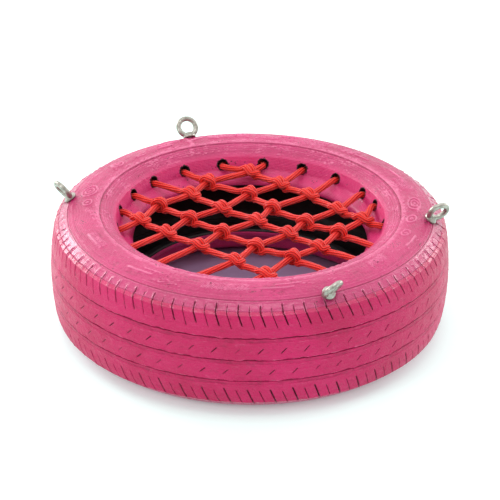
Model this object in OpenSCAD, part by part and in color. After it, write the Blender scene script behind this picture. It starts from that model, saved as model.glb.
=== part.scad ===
// Tyre swing with a net seat: a painted car tyre lying flat, one cord laced and knotted
// across its upper opening, and four leaning eyebolts on the upper shoulder for the ropes.

/* [Tyre] */
// outside diameter over the tread
tyre_od = 596; // [560:2:720]
// width over both sidewalls, which is the height as the swing hangs
tyre_width = 185; // [150:1:225]
// diameter of the bead seat the wheel would fill
bead_dia = 355; // [345:1:400]
// width of the flat ring each sidewall can rest on
rest_w = 8; // [4:0.5:14]
// rubber and plies together at the crown
crown_t = 14; // [12:0.5:18]
// rubber and plies together at the side
side_t = 8.5; // [7:0.5:11]
// thickness of the bead wall that the lacing holes pass
wall_t = 11.5; // [9:0.5:14]

/* [Tread] */
// distance between the three grooves
groove_pitch = 34; // [28:0.5:38]
// width of a groove at the surface
groove_w = 8; // [4:0.5:9]
// depth of a groove
groove_depth = 4.5; // [3:0.5:8]

/* [Lacing] */
// diameter of the braided cord
cord_d = 9.4; // [6:0.2:10.2]
// diameter of the holes drilled through the upper bead wall
hole_d = 15.5; // [12:0.5:18.6]
// diameter of a tightened net knot
knot_d = 21.5; // [16:0.5:23]

/* [Eyebolts] */
// outside diameter of the eye
eye_od = 36; // [30:0.5:44]
// diameter of the opening in the eye
eye_bore_d = 20; // [16:0.5:24]
// thread diameter of the shank
shank_d = 8; // [6:0.5:10]
// diameter of the collar under the eye
collar_d = 20; // [16:0.5:24]
// lean of the bolts outward from the upright
eye_lean = 42; // [34:1:50]
// rubber clamped between the collar and the inner washer
eye_wall = 12; // [9:0.5:15]

/* [Hidden] */
$fn = 96;

crown_r = tyre_od / 2;
half_w = tyre_width / 2;
bead_r = bead_dia / 2;

// tyre section, measured from the axis and from the middle plane
crown_drop = 4.6;
shoulder_h = 34.5;
shoulder_k = 1.117;
tread_half = half_w - shoulder_h;
land_r = bead_r + 0.477 * (crown_r - bead_r);
land_out = land_r + rest_w / 2;
land_in = land_r - rest_w / 2;
shoulder_w = crown_r - crown_drop - land_out;
ridge_r = bead_r + 22.8;
ridge_z = half_w - 13.1;
wall_foot_r = bead_r + 17;
wall_foot_z = half_w - 33.5;

inner_half = half_w - 42.5;
inner_out_r = crown_r - crown_t - crown_drop;
inner_land_r = land_out - 3;
inner_top = half_w - side_t;
inner_k = 1.15;

// stations at which the tread meets the sidewall and the bead wall meets the heel
tread_end = 6;
wall_start = 16;
last = 20;
belt_t = 1;
core_d = 6.6;
core_r = bead_r + 11.3;
core_z = half_w - 46.5;

// places around the opening where the cord passes the bead wall, drilled by hand;
// the cord's first end is a free tail at tail_i and its last end is knotted behind knot_i
hole_angle = [84.5, 103, 121.5, 139, 154.5, 171, 187.5, 205.5, 225, 245,
              268, 287, 306.5, 323.5, 338.5, 358.4, 17.3, 30, 48.3, 66.1];
tail_i = 10;
knot_i = 11;
lines = 5;

wall_len = norm([ridge_r - wall_foot_r, ridge_z - wall_foot_z]);
wall_tilt = atan2(ridge_r - wall_foot_r, ridge_z - wall_foot_z);
hole_down = 0.56 * wall_len;
hole_r = ridge_r - hole_down * sin(wall_tilt);
hole_z = ridge_z - hole_down * cos(wall_tilt);
cord_gap = 0.1;
cord_drop = hole_d / 2 - cord_d / 2 - cord_gap;
mouth = 3;
loop_out = wall_t + cord_d / 2 + cord_gap;
stopper_out = wall_t + knot_d / 2 + cord_gap;
bend_d = cord_d + 0.3;
tail_short = 8;
stopper_tail = 14;
drill_back = 8;
drill_len = 32;

// eyebolts: where each stands round the tyre and across its shoulder, from the top land
// to the tread, and how far each eye is turned on its own shank
eye_angle = [172, 111, 355, 294];
eye_share = [0.61, 0.59, 0.5, 0.59];
eye_turn = [127, 90, 39, 110];
wire_d = (eye_od - eye_bore_d) / 2 + 0.3;
wire_r0 = (eye_od - wire_d) / 2;
collar_h = 6;
collar_edge = 0.8;
shank_len = 27;
seat_gap = 0.3;
shank_fit = 0.08;
washer_d = 24;
washer_t = 2;
washer_fit = 0.2;
nut_af = 13;
nut_h = 6.5;
nut_dome_h = 1.5;
nut_dome_d = 11.5;
nut_fit = 0.05;
spot_margin = 0.4;
spot_depth = 12;

function lerp(a, b, f) = a + (b - a) * f;
function part_of(p, a, b) = [for (i = [a : b]) p[i]];
function reversed(p) = [for (i = [len(p) - 1 : -1 : 0]) p[i]];
function both_sides(p) = concat([for (i = [len(p) - 1 : -1 : 1]) [p[i][0], -p[i][1]]], p);

outer = concat(
    [for (f = [0, 0.345, 0.69, 1]) [crown_r - crown_drop * f * f, tread_half * f]],
    [for (t = [10 : 10 : 80]) [land_out + shoulder_w * pow(cos(t), shoulder_k),
                               tread_half + shoulder_h * pow(sin(t), shoulder_k)]],
    [[land_out, half_w],
     [land_in, half_w],
     [lerp(ridge_r, land_in, 0.7), half_w - 2],
     [lerp(ridge_r, land_in, 0.32), half_w - 6.4],
     [ridge_r, ridge_z],
     [wall_foot_r, wall_foot_z],
     [bead_r + 12, half_w - 37.5],
     [bead_r + 2.8, half_w - 41.5],
     [bead_r - 2.5, half_w - 51.5]]);

// a point on the cavity face of the bead wall, a given distance up from the wall's foot
function inner_wall_pt(up) =
    [wall_foot_r + wall_t * cos(wall_tilt) + up * sin(wall_tilt),
     wall_foot_z - wall_t * sin(wall_tilt) + up * cos(wall_tilt)];

inner = concat(
    [for (f = [0, 0.345, 0.69, 1]) [crown_r - crown_t - crown_drop * f * f, inner_half * f]],
    [for (t = [10 : 10 : 80]) [lerp(inner_land_r, inner_out_r, pow(cos(t), inner_k)),
                               lerp(inner_half, inner_top, pow(sin(t), inner_k))]],
    [[inner_land_r, inner_top],
     [lerp(ridge_r + 10, inner_land_r, 0.72), inner_top - 0.4],
     [lerp(ridge_r + 10, inner_land_r, 0.46), inner_top - 1.8],
     [lerp(ridge_r + 10, inner_land_r, 0.17), inner_top - 5.5],
     inner_wall_pt(wall_len - 4),
     inner_wall_pt(0),
     [bead_r + 21.5, half_w - 44],
     [bead_r + 12.5, half_w - 52],
     [bead_r + 0.5, half_w - 54.5]]);

function rubber_share(i) = i <= wall_start ? 0.6 : 0.3;
skin = [for (i = [0 : last]) lerp(outer[i], inner[i], rubber_share(i))];
belt_in = [for (i = [0 : 3]) [skin[i][0] - belt_t, skin[i][1]]];

function shoulder_z(share) =
    tread_half + shoulder_h * pow(sin(acos(pow(share, 1 / shoulder_k))), shoulder_k);

// a point on the line of the drilled hole i: along is outward through the wall from its face
function hole_pt(i, along, down) =
    let (r = hole_r + along * cos(wall_tilt) - down * sin(wall_tilt))
    [r * cos(hole_angle[i]), r * sin(hole_angle[i]),
     half_w + hole_z - along * sin(wall_tilt) - down * cos(wall_tilt)];
function mouth_pt(i) = hole_pt(i, -mouth, cord_drop);
function cross_pt(a, b, c, d) =
    let (u = b - a, v = d - c, w = c - a)
    a + u * ((w[0] * v[1] - w[1] * v[0]) / (u[0] * v[1] - u[1] * v[0]));
function line_a(i) = [mouth_pt(1 + i), mouth_pt(15 - i)];
function line_b(i) = [mouth_pt(6 + i), mouth_pt((20 - i) % 20)];
tail_pt = lerp(mouth_pt(tail_i), mouth_pt(16),
               tail_short / norm(mouth_pt(tail_i) - mouth_pt(16)));

loop_r = hole_r + loop_out * cos(wall_tilt) - cord_drop * sin(wall_tilt);
loop_z = half_w + hole_z - loop_out * sin(wall_tilt) - cord_drop * cos(wall_tilt);

module spun() {
    rotate_extrude()
        translate([0, half_w])
            children();
}

module rod(a, b, d) {
    v = b - a;
    translate(a)
        rotate([0, acos(v[2] / norm(v)), atan2(v[1], v[0])])
            cylinder(h = norm(v), d = d);
}

module bend(p) {
    translate(p)
        sphere(d = bend_d);
}

module at_eye(i) {
    rotate([0, 0, eye_angle[i]])
        translate([land_out + eye_share[i] * shoulder_w, 0, half_w + shoulder_z(eye_share[i])])
            rotate([0, eye_lean, 0])
                rotate([0, 0, eye_turn[i]])
                    children();
}

module lacing_holes() {
    for (i = [0 : len(hole_angle) - 1])
        if (i != tail_i)
            rotate([0, 0, hole_angle[i]])
                translate([hole_r, 0, half_w + hole_z])
                    rotate([0, 90 + wall_tilt, 0])
                        translate([0, 0, -drill_back])
                            cylinder(h = drill_len, d = hole_d);
}

module eye_holes() {
    for (i = [0 : 3])
        at_eye(i) {
            translate([0, 0, -shank_len])
                cylinder(h = shank_len + 1, d = shank_d + 2 * shank_fit);
            translate([0, 0, -seat_gap])
                cylinder(h = spot_depth, d = collar_d + 2 * spot_margin);
            translate([0, 0, -eye_wall - spot_depth])
                cylinder(h = spot_depth, d = washer_d + 2 * spot_margin);
        }
}

module belt_section() {
    polygon(concat(both_sides(part_of(skin, 0, 3)), reversed(both_sides(belt_in))));
}

module core_sections() {
    for (s = [-1, 1])
        translate([core_r, s * core_z])
            circle(d = core_d);
}

module tread() {
    color([0.78, 0.19, 0.41])
        spun()
            difference() {
                polygon(concat(both_sides(part_of(outer, 0, tread_end)),
                               reversed(both_sides(part_of(skin, 0, tread_end)))));
                for (g = [-1, 0, 1])
                    translate([crown_r - groove_depth - crown_drop * pow(g * groove_pitch / tread_half, 2),
                               g * groove_pitch])
                        polygon([[0, -0.3 * groove_w], [groove_depth, -0.5 * groove_w],
                                 [2 * groove_depth, -0.5 * groove_w], [2 * groove_depth, 0.5 * groove_w],
                                 [groove_depth, 0.5 * groove_w], [0, 0.3 * groove_w]]);
            }
}

module steel_belt() {
    color([0.45, 0.46, 0.48])
        spun()
            belt_section();
}

module side_ring() {
    spun()
        polygon(concat(part_of(outer, tread_end, last), reversed(part_of(skin, tread_end, last))));
}

module upper_sidewall() {
    color([0.85, 0.36, 0.53])
        difference() {
            side_ring();
            lacing_holes();
            eye_holes();
        }
}

module lower_sidewall() {
    color([0.8, 0.3, 0.48])
        translate([0, 0, tyre_width])
            mirror([0, 0, 1])
                side_ring();
}

module carcass() {
    color([0.08, 0.07, 0.08])
        difference() {
            spun()
                difference() {
                    polygon(concat(both_sides(skin), reversed(both_sides(inner))));
                    belt_section();
                    core_sections();
                }
            lacing_holes();
            eye_holes();
        }
}

module bead_core() {
    color([0.62, 0.5, 0.3])
        rotate_extrude()
            translate([core_r, core_z])
                circle(d = core_d);
}

module upper_bead_core() {
    translate([0, 0, half_w])
        bead_core();
}

module lower_bead_core() {
    translate([0, 0, half_w - 2 * core_z])
        bead_core();
}

module cord_through(i, reach) {
    rod(mouth_pt(i), hole_pt(i, reach, cord_drop), cord_d);
    bend(mouth_pt(i));
}

module net_cord() {
    color([0.89, 0.24, 0.21]) {
        for (i = [0 : lines - 1]) {
            rod(line_a(i)[0], line_a(i)[1], cord_d);
            if (6 + i == tail_i)
                rod(tail_pt, line_b(i)[1], cord_d);
            else
                rod(line_b(i)[0], line_b(i)[1], cord_d);
            for (j = [0 : lines - 1])
                translate(cross_pt(line_a(i)[0], line_a(i)[1], line_b(j)[0], line_b(j)[1]))
                    sphere(d = knot_d);
        }
        for (i = [0 : len(hole_angle) - 1])
            if (i != tail_i && i != knot_i) {
                cord_through(i, loop_out);
                bend(hole_pt(i, loop_out, cord_drop));
            }
        for (j = [0 : len(hole_angle) / 2 - 1])
            if (2 * j != tail_i)
                rotate([0, 0, hole_angle[2 * j]])
                    rotate_extrude(angle = (hole_angle[2 * j + 1] - hole_angle[2 * j] + 360) % 360)
                        translate([loop_r, loop_z])
                            circle(d = cord_d);
        cord_through(knot_i, stopper_out + stopper_tail);
        translate(hole_pt(knot_i, stopper_out, cord_drop))
            sphere(d = knot_d);
    }
}

module eyebolt(i) {
    color([0.75, 0.75, 0.73])
        at_eye(i) {
            translate([0, 0, -shank_len])
                cylinder(h = shank_len + 1, d = shank_d);
            rotate_extrude()
                polygon([[0, 0], [collar_d / 2 - collar_edge, 0], [collar_d / 2, collar_edge],
                         [collar_d / 2, 0.6 * collar_h], [0.37 * collar_d, collar_h], [0, collar_h]]);
            translate([0, 0, eye_od / 2])
                rotate([90, 0, 0])
                    rotate_extrude()
                        difference() {
                            translate([wire_r0, 0])
                                circle(d = wire_d);
                            translate([0, -wire_d])
                                square([eye_bore_d / 2, 2 * wire_d]);
                        }
        }
}

module washer(i) {
    color([0.7, 0.7, 0.7])
        at_eye(i)
            translate([0, 0, -eye_wall - seat_gap - washer_t])
                difference() {
                    cylinder(h = washer_t, d = washer_d);
                    translate([0, 0, -1])
                        cylinder(h = washer_t + 2, d = shank_d + 2 * washer_fit);
                }
}

module nut(i) {
    color([0.66, 0.66, 0.68])
        at_eye(i)
            translate([0, 0, -eye_wall - seat_gap - washer_t - nut_h])
                difference() {
                    union() {
                        cylinder(h = nut_h, d = nut_af / cos(30), $fn = 6);
                        translate([0, 0, -nut_dome_h])
                            cylinder(h = nut_dome_h + 1, d = nut_dome_d);
                    }
                    translate([0, 0, -nut_dome_h - 1])
                        cylinder(h = nut_h + nut_dome_h + 2, d = shank_d + 2 * nut_fit);
                }
}

module eyebolt_left() { eyebolt(0); }
module eyebolt_rear() { eyebolt(1); }
module eyebolt_right() { eyebolt(2); }
module eyebolt_front() { eyebolt(3); }
module washer_left() { washer(0); }
module washer_rear() { washer(1); }
module washer_right() { washer(2); }
module washer_front() { washer(3); }
module nut_left() { nut(0); }
module nut_rear() { nut(1); }
module nut_right() { nut(2); }
module nut_front() { nut(3); }

tread();
steel_belt();
carcass();
upper_sidewall();
lower_sidewall();
upper_bead_core();
lower_bead_core();
net_cord();
eyebolt_left();
eyebolt_rear();
eyebolt_right();
eyebolt_front();
washer_left();
washer_rear();
washer_right();
washer_front();
nut_left();
nut_rear();
nut_right();
nut_front();
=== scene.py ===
"""Looks of the tyre swing: painted tyre, laced net seat and four galvanised eyebolts."""
import math

import bmesh
import bpy
import numpy as np
from mathutils import Matrix, Vector


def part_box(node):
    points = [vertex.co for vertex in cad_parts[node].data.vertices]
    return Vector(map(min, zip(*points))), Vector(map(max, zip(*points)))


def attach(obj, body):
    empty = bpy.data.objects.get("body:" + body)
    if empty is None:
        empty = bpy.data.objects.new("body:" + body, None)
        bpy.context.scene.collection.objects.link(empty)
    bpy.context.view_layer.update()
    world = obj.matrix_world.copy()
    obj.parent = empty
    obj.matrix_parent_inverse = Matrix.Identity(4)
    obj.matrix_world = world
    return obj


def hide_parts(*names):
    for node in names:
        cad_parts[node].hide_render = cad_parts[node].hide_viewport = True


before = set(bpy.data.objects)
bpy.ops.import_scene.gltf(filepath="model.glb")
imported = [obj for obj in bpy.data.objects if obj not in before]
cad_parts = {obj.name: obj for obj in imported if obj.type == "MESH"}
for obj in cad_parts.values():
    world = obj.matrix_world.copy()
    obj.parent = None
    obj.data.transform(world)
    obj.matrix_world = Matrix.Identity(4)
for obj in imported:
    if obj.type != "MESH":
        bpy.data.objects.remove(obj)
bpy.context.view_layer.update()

MM = 0.001
TAU = 2 * math.pi

# ---- sizes, in millimetres
CROWN_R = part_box("tread")[1].x / MM
HALF_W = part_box("upper_sidewall")[1].z / MM / 2
BEAD_R = 177.5
CROWN_DROP = 4.6
SHOULDER_H = 34.5
TREAD_HALF = HALF_W - SHOULDER_H
LAND_R = BEAD_R + 0.477 * (CROWN_R - BEAD_R)
REST_W = 8
LAND_OUT = LAND_R + REST_W / 2
LAND_IN = LAND_R - REST_W / 2
SHOULDER_W = CROWN_R - CROWN_DROP - LAND_OUT
SHOULDER_K = 1.117
RIDGE = (BEAD_R + 22.8, HALF_W - 13.1)
FOOT = (BEAD_R + 17, HALF_W - 33.5)
WEAR_EDGE = (CROWN_R - 8.0, TREAD_HALF + 11.8)
RING_LINE_R = 272.0

CORD_D = 9.4
HOLE_D = 15.5
MOUTH = 3.0
WALL_T = 11.5
HOLE_ANGLES = (84.5, 103, 121.5, 139, 154.5, 171, 187.5, 205.5, 225, 245,
               268, 287, 306.5, 323.5, 338.5, 358.4, 17.3, 30, 48.3, 66.1)
# the tail's place is not drilled, and the stopper knot is behind the next hole
TAIL_HOLE = 10
KNOT_HOLE = 11
LINES = 5
# how far each knot has slipped, in x and y, from the straight crossing of its two lines
KNOT_SLIP = (((10, 9), (14, 1), (12, 2), (6, -6), (10, -10)),
             ((-16, 10), (7, 6), (-5, 0), (-4, -5), (8, -6)),
             ((-2, 10), (4, -3), (9, -3), (6, -5), (10, -12)),
             ((-12, 11), (-6, 1), (-5, -2), (-5, -5), (4, 0)),
             ((-2, -2), (-2, -7), (0, -5), (4, -7), (1, -7)))

EYES = ("left", "rear", "right", "front")
EYE_ANGLE = (172, 111, 355, 294)
EYE_SHARE = (0.61, 0.59, 0.5, 0.59)
EYE_TURN = (127, 90, 39, 110)
EYE_LEAN = 42
EYE_OD = 36
EYE_BORE_D = 20
COLLAR_D = 20
SHANK_D = 8
SHANK_LEN = 27
THREAD_PITCH = 1.25

PITCHES = 57
PITCH = TAU * CROWN_R / PITCHES
THICK_AT = 0.25 * PITCH
THIN_AT = 0.75 * PITCH
THICK_EDGE = 1.35
THICK_FLOOR = 0.7
THIN_EDGE = 0.75
THIN_FLOOR = 0.3
GROOVES = (34.0, 0.0, -34.0)
GROOVE_HALF = 4.0
GROOVE_WALL = 0.4
GROOVE_DEPTH = 2.6
GROOVE_FILL = 0.32
# places across the tread, in mm from its middle, and depths of the cuts and notches
NOTCHES = ((13, 22, 6), (-20.6, -12, 7))
UPPER_THICK_LOW = 54
UPPER_THIN_LOW = 50.5
LOWER_THICK = (46, 84)
LOWER_THIN = (47.5, 80)
THICK_DEPTH = 3.4
THIN_DEPTH = 2.0
NOTCH_DEPTH = 2.4


# ---- small maths
def step_up(x, low, high):
    t = np.clip((x - low) / (high - low), 0, 1)
    return t * t * (3 - 2 * t)


def ramp(x, low, high):
    return np.clip((x - low) / (high - low), 0, 1)


def window(x, low, high, soft):
    return ramp(x, low, low + soft) * (1 - ramp(x, high - soft, high))


def bump_at(x, centre, half):
    return np.clip(1 - np.abs(x - centre) / half, 0, 1)


def turn_from(theta, at):
    """Signed angle round the tyre from one place to theta, at most half a turn."""
    return np.mod(theta - at + math.pi, TAU) - math.pi


def wave_noise(seed, theta, s, around, across, terms=40):
    """Smooth noise, periodic round the tyre. around and across are wave lengths in mm."""
    rng = np.random.default_rng(seed)
    total = np.zeros(np.broadcast(theta, s).shape)
    for _ in range(terms):
        turns = round(TAU * 250 / around * rng.normal(0, 1))
        total += np.cos(turns * theta + TAU / across * rng.normal(0, 1) * s + rng.uniform(0, TAU))
    return total / math.sqrt(terms / 2)


def per_pitch(seed, theta, low, high):
    """One random value for each tread pitch."""
    values = np.random.default_rng(seed).uniform(low, high, PITCHES)
    return values[np.floor(np.mod(theta, TAU) / TAU * PITCHES).astype(int) % PITCHES]


def unit(v):
    return v / np.linalg.norm(v)


def angles_round(count):
    """Angles of evenly spaced points round a circle."""
    return np.arange(count) * TAU / count


def tangents(points):
    """Unit directions along a polyline, one at each point."""
    along = np.gradient(points, axis=0)
    return along / np.linalg.norm(along, axis=1)[:, None]


def lengths_to(points):
    """How far along a polyline each of its points is."""
    return np.concatenate([[0], np.cumsum(np.linalg.norm(np.diff(points, axis=0), axis=1))])


def points_at(at, points):
    """Places on a polyline, by their distances along it."""
    lengths = lengths_to(points)
    return np.stack([np.interp(at, lengths, values) for values in points.T], 1)


def curve_through(points, step, piece):
    """A dense polyline; piece gives the curve from the second to the third of four points."""
    p = np.vstack([2 * points[0] - points[1], points, 2 * points[-1] - points[-2]])
    out = []
    for i in range(1, len(p) - 2):
        n = max(2, int(np.linalg.norm(p[i + 1] - p[i]) / step))
        out.append(piece(*p[i - 1:i + 3], np.linspace(0, 1, n, endpoint=False)[:, None]))
    return np.vstack(out + [p[-2:-1]])


# ---- the tyre's section
def superellipse(t):
    return (LAND_OUT + SHOULDER_W * np.cos(t) ** SHOULDER_K,
            TREAD_HALF + SHOULDER_H * np.sin(t) ** SHOULDER_K)


def spline(*points):
    """Catmull-Rom through the points, in steps of about 1 mm."""
    def piece(a, b, c, d, t):
        return 0.5 * (2 * b + (c - a) * t + (2 * a - 5 * b + 4 * c - d) * t ** 2
                      + (3 * b - a - 3 * c + d) * t ** 3)

    return curve_through(np.array(points, float), 1.0, piece)


def half_section():
    """The upper half of the outer surface from the middle of the tread to the bead toe."""
    z = np.arange(0, TREAD_HALF, 1.0)
    crown = np.stack([CROWN_R - CROWN_DROP * (z / TREAD_HALF) ** 2, z], 1)
    start = np.array([CROWN_R - CROWN_DROP, TREAD_HALF])
    slope = -2 * CROWN_DROP / TREAD_HALF
    rise = WEAR_EDGE[1] - TREAD_HALF
    f = np.linspace(0, 1, 16)[:-1]
    fall = WEAR_EDGE[0] - start[0] - slope * rise
    face = np.stack([start[0] + slope * rise * f + fall * f ** 1.3, start[1] + rise * f], 1)
    t_ring = math.acos(((RING_LINE_R - LAND_OUT) / SHOULDER_W) ** (1 / SHOULDER_K))
    ring = np.array(superellipse(t_ring))
    f = np.linspace(0, 1, 24)[:-1, None]
    bulge = 0.3 * np.sin(math.pi * f) * np.array([[0.63, 0.77]])
    bevel = np.array(WEAR_EDGE) * (1 - f) + ring * f + bulge
    upper = np.stack(superellipse(np.linspace(t_ring, math.pi / 2, 60)), 1)
    slope_in = spline((LAND_IN, HALF_W), (LAND_IN - 9.2, HALF_W - 2), (LAND_IN - 20.9, HALF_W - 6.4),
                      (RIDGE[0] + 1.2, RIDGE[1] + 0.6))
    wall = np.array([(RIDGE[0] - 0.2, RIDGE[1] - 1.0), (RIDGE[0] - 0.7, RIDGE[1] - 2.6), FOOT])
    heel = spline(FOOT, (BEAD_R + 12, HALF_W - 37.5), (BEAD_R + 2.8, HALF_W - 41.5),
                  (BEAD_R - 1.6, HALF_W - 46.5), (BEAD_R - 2.5, HALF_W - 51.5))[1:]
    return np.vstack([crown, face, bevel, upper, slope_in, wall, heel])


SECTION = half_section()
SECTION_S = lengths_to(SECTION)
EVEN_S = np.arange(0, SECTION_S[-1], 0.25)
TANGENT = tangents(points_at(EVEN_S, SECTION))


def section_at(s):
    """Radius, height over the middle plane, and the outward normal's two parts."""
    a = np.abs(s)
    side = np.where(s < 0, -1.0, 1.0)
    r = np.interp(a, SECTION_S, SECTION[:, 0])
    z = np.interp(a, SECTION_S, SECTION[:, 1]) * side
    tr = np.interp(a, EVEN_S, TANGENT[:, 0])
    tz = np.interp(a, EVEN_S, TANGENT[:, 1])
    return r, z, tz, -tr * side


def s_at_z(z):
    on = SECTION[:, 1][:np.argmax(SECTION[:, 1])]
    return math.copysign(np.interp(abs(z), on, SECTION_S[:len(on)]), z)


def s_at_r(r):
    return float(np.interp(-r, -SECTION[:, 0], SECTION_S))


EDGE_S = s_at_z(WEAR_EDGE[1])
CUT_TOP_S = s_at_r(276.0)
RING_S = s_at_r(RING_LINE_R)
SEAM_S = s_at_r(285.0)
LINE_S = s_at_r(224.0)
RIDGE_S = s_at_r(RIDGE[0])
FOOT_S = s_at_r(FOOT[0])
TOE_S = float(SECTION_S[-1])
# rings round a sidewall: place across it, half width, and height, below zero where it is cut in
RINGS = ((RING_S - 0.9, 1.0, 0.7), (RING_S + 0.7, 0.9, -0.9), (RING_S + 2.3, 0.9, 0.6),
         (LINE_S + 0.5, 1.0, -1.4), (s_at_r(204.5), 1.3, 0.5), (s_at_r(265), 1.2, 0.5),
         (s_at_r(263), 1.2, -0.4), *((s_at_r(219.5 - 3.4 * k), 1.1, 0.85 - 0.1 * k) for k in range(4)))
WALL_TILT = math.atan2(RIDGE[0] - FOOT[0], RIDGE[1] - FOOT[1])
WALL_LEN = math.hypot(RIDGE[0] - FOOT[0], RIDGE[1] - FOOT[1])
HOLE_DOWN = 0.56 * WALL_LEN
HOLE_R = RIDGE[0] - HOLE_DOWN * math.sin(WALL_TILT)
HOLE_Z = RIDGE[1] - HOLE_DOWN * math.cos(WALL_TILT)
HOLE_S = s_at_r(HOLE_R)
HOLES = [math.radians(a) for i, a in enumerate(HOLE_ANGLES) if i != TAIL_HOLE]


# ---- bolt places
def shoulder_point(share):
    return superellipse(math.acos(share ** (1 / SHOULDER_K)))


def eye_matrix(i):
    """The bolt's own frame in metres: its seat at the origin, its shank down -Z."""
    r, z = shoulder_point(EYE_SHARE[i])
    return (Matrix.Rotation(math.radians(EYE_ANGLE[i]), 4, "Z")
            @ Matrix.Translation(Vector((r, 0, HALF_W + z)) * MM)
            @ Matrix.Rotation(math.radians(EYE_LEAN), 4, "Y")
            @ Matrix.Rotation(math.radians(EYE_TURN[i]), 4, "Z"))


def press_under_collars(xyz):
    """Rubber under a collar lies flat below it, so the bolt seats on it. xyz in metres."""
    seat_drop = 0.35
    for i in range(len(EYES)):
        m = np.array(eye_matrix(i))
        local = (xyz - m[:3, 3]) @ m[:3, :3] / MM
        reach = np.hypot(local[:, 0], local[:, 1])
        near = (reach < COLLAR_D / 2 + 3) & (local[:, 2] > -12)
        limit = -seat_drop + 0.9 * ramp(reach, COLLAR_D / 2 + 0.4, COLLAR_D / 2 + 3)
        over = np.where(near, np.maximum(local[:, 2] - limit, 0), 0)
        xyz = xyz - over[:, None] * MM * m[:3, 2]
    return xyz


# ---- the tyre's relief
SHEAR_S = (-90, -74, -46, -38, -30, -20.6, -12, -4, 4, 13, 22, 30, 38, 50, 56, 74, 90)
SHEAR_MM = (-7.5, -7.5, -18.5, -20.5, -21.5, -20.7, -12.1, -9.5, -7, -4.3, 4.3, 8, 9, 8.4, 6.6, 0, 0)


def shear(s):
    """How far the tread pattern's columns lean round the tyre at each place across it."""
    return np.interp(s, SHEAR_S, SHEAR_MM)


def off_centre(u, centre):
    """Distance in mm from the middle of a cut that repeats once a pitch."""
    x = u * PITCH - centre
    return np.abs(x - PITCH * np.round(x / PITCH))


def cut(u, centre, edge, floor):
    return ramp(-off_centre(u, centre), -edge, -floor)


def tread_relief(theta, u, s):
    """Height of the tread, and where its paint is bare or painted dark as shade: sipes in the shoulders,
    notches in the ribs, grooves.
    """
    pitch_no = (theta - shear(s) / CROWN_R) + 1e-6
    top = CUT_TOP_S + per_pitch(1, pitch_no, -2.5, 1.5)
    thick_low = UPPER_THICK_LOW + per_pitch(2, pitch_no, -1.5, 2.5)
    thin_low = UPPER_THIN_LOW + per_pitch(3, pitch_no, -2.0, 3.0)
    thick = cut(u, THICK_AT, THICK_EDGE, THICK_FLOOR)
    thin = cut(u, THIN_AT, THIN_EDGE, THIN_FLOOR)
    low_thick = window(-s, LOWER_THICK[0] + per_pitch(4, pitch_no, -1, 1.5), LOWER_THICK[1], 1.8)
    low_thin = window(-s, LOWER_THIN[0] + per_pitch(5, pitch_no, -1, 2), LOWER_THIN[1], 1.5)
    wide = thick * (window(s, thick_low, top, 2.0) + low_thick)
    narrow = thin * (window(s, thin_low, top - 3.5, 1.5) + low_thin)
    notch = thick * sum(window(s, low, high, 1.2) * per_pitch(seed, pitch_no, 0.2, 1)
                        for low, high, seed in NOTCHES)
    height = -THICK_DEPTH * wide - THIN_DEPTH * narrow - NOTCH_DEPTH * notch
    on_face = 1 - 0.7 * ramp(s, EDGE_S - 1, EDGE_S + 1)
    # cuts are darkened: partly bare rubber, partly painted shade
    bare = wide * per_pitch(10, pitch_no, 0.32, 0.74) * on_face
    bare += narrow * per_pitch(11, pitch_no, 0.25, 0.6) * on_face
    bare += notch * per_pitch(12, pitch_no, 0.3, 0.75)

    lip_thick = bump_at(off_centre(u, THICK_AT), THICK_EDGE, 0.8)
    lip_thin = bump_at(off_centre(u, THIN_AT), THIN_EDGE, 0.8)
    on_shoulder = window(s, 53, CUT_TOP_S + 1, 2.0) + window(-s, 45, 84, 2.0)
    flow = 0.6 + 0.5 * wave_noise(13, theta, s, 12, 12, 20)
    lip_height = 0.3 + 0.7 * ramp(s, EDGE_S - 1, EDGE_S + 1)
    height += lip_height * flow * on_shoulder * (lip_thick + 0.8 * lip_thin)
    tip = bump_at(s, top - 1, 3.6) * bump_at(off_centre(u, THICK_AT + 0.4), 0, 2.6)
    height += 1.3 * tip
    height += 0.3 * bump_at(s, EDGE_S + 0.6, 1.2) * np.clip(flow, 0, 1.3)

    ragged = 0.5 + 0.5 * wave_noise(8, theta, 0 * s, 12, 10, 30)
    flake = 0.5 + 0.5 * wave_noise(14, theta, s, 7, 5, 30)
    for g in GROOVES:
        down = g + GROOVE_HALF - s
        floor = GROOVE_FILL + (GROOVE_DEPTH - GROOVE_FILL) * (1 - ramp(down, 0.9, 1.9))
        inside = ramp(down, 0, GROOVE_WALL) * (1 - ramp(down, 2 * GROOVE_HALF - 0.7, 2 * GROOVE_HALF))
        height -= floor * inside
        height += 0.55 * np.clip(flake, 0, 1.3) * bump_at(down, 2.9, 1.1) * np.clip(ragged, 0, 1)
        height += 0.5 * np.clip(ragged, 0, 1.5) * bump_at(down, -0.7, 0.9)
        height += 0.3 * np.clip(ragged, 0, 1.5) * bump_at(down, 2 * GROOVE_HALF + 0.5, 0.9)
        # a painted shadow line under each groove's upper edge
        bare += 0.6 * np.clip(ragged + 0.3, 0, 1) * bump_at(down, 0.8, 0.8)
        bare += 0.3 * np.clip(flake - 0.6, 0, 1) * bump_at(down, 3.4, 1.5)
    height += 0.12 * wave_noise(9, theta, s, 22, 9)
    height += 0.05 * wave_noise(15, theta, s, 6, 4)
    return height, np.clip(bare, 0, 1)


def ellipse_rings(theta, s, angle, radius, half_around, half_across, count):
    """Raised concentric ovals on the sidewall, round one place."""
    a = turn_from(theta, math.radians(angle)) * radius / half_around
    b = (s - s_at_r(radius)) / half_across
    d = np.hypot(a + 0.25 * b, b)
    return np.where(d < 1, np.clip(np.sin(d * count * TAU), 0, 1), 0) * (1 - ramp(d, 0.8, 1))


def arc_bar(theta, s, angle, radius, length, width, tilt):
    """One raised bar that follows the tyre's curve, leaning a little."""
    a = turn_from(theta, math.radians(angle)) * radius
    b = s - s_at_r(radius) - tilt * a
    return ramp(-np.abs(a), -length / 2, -length / 2 + 4) * ramp(-np.abs(b), -width / 2, -width / 2 + 0.9)


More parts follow.
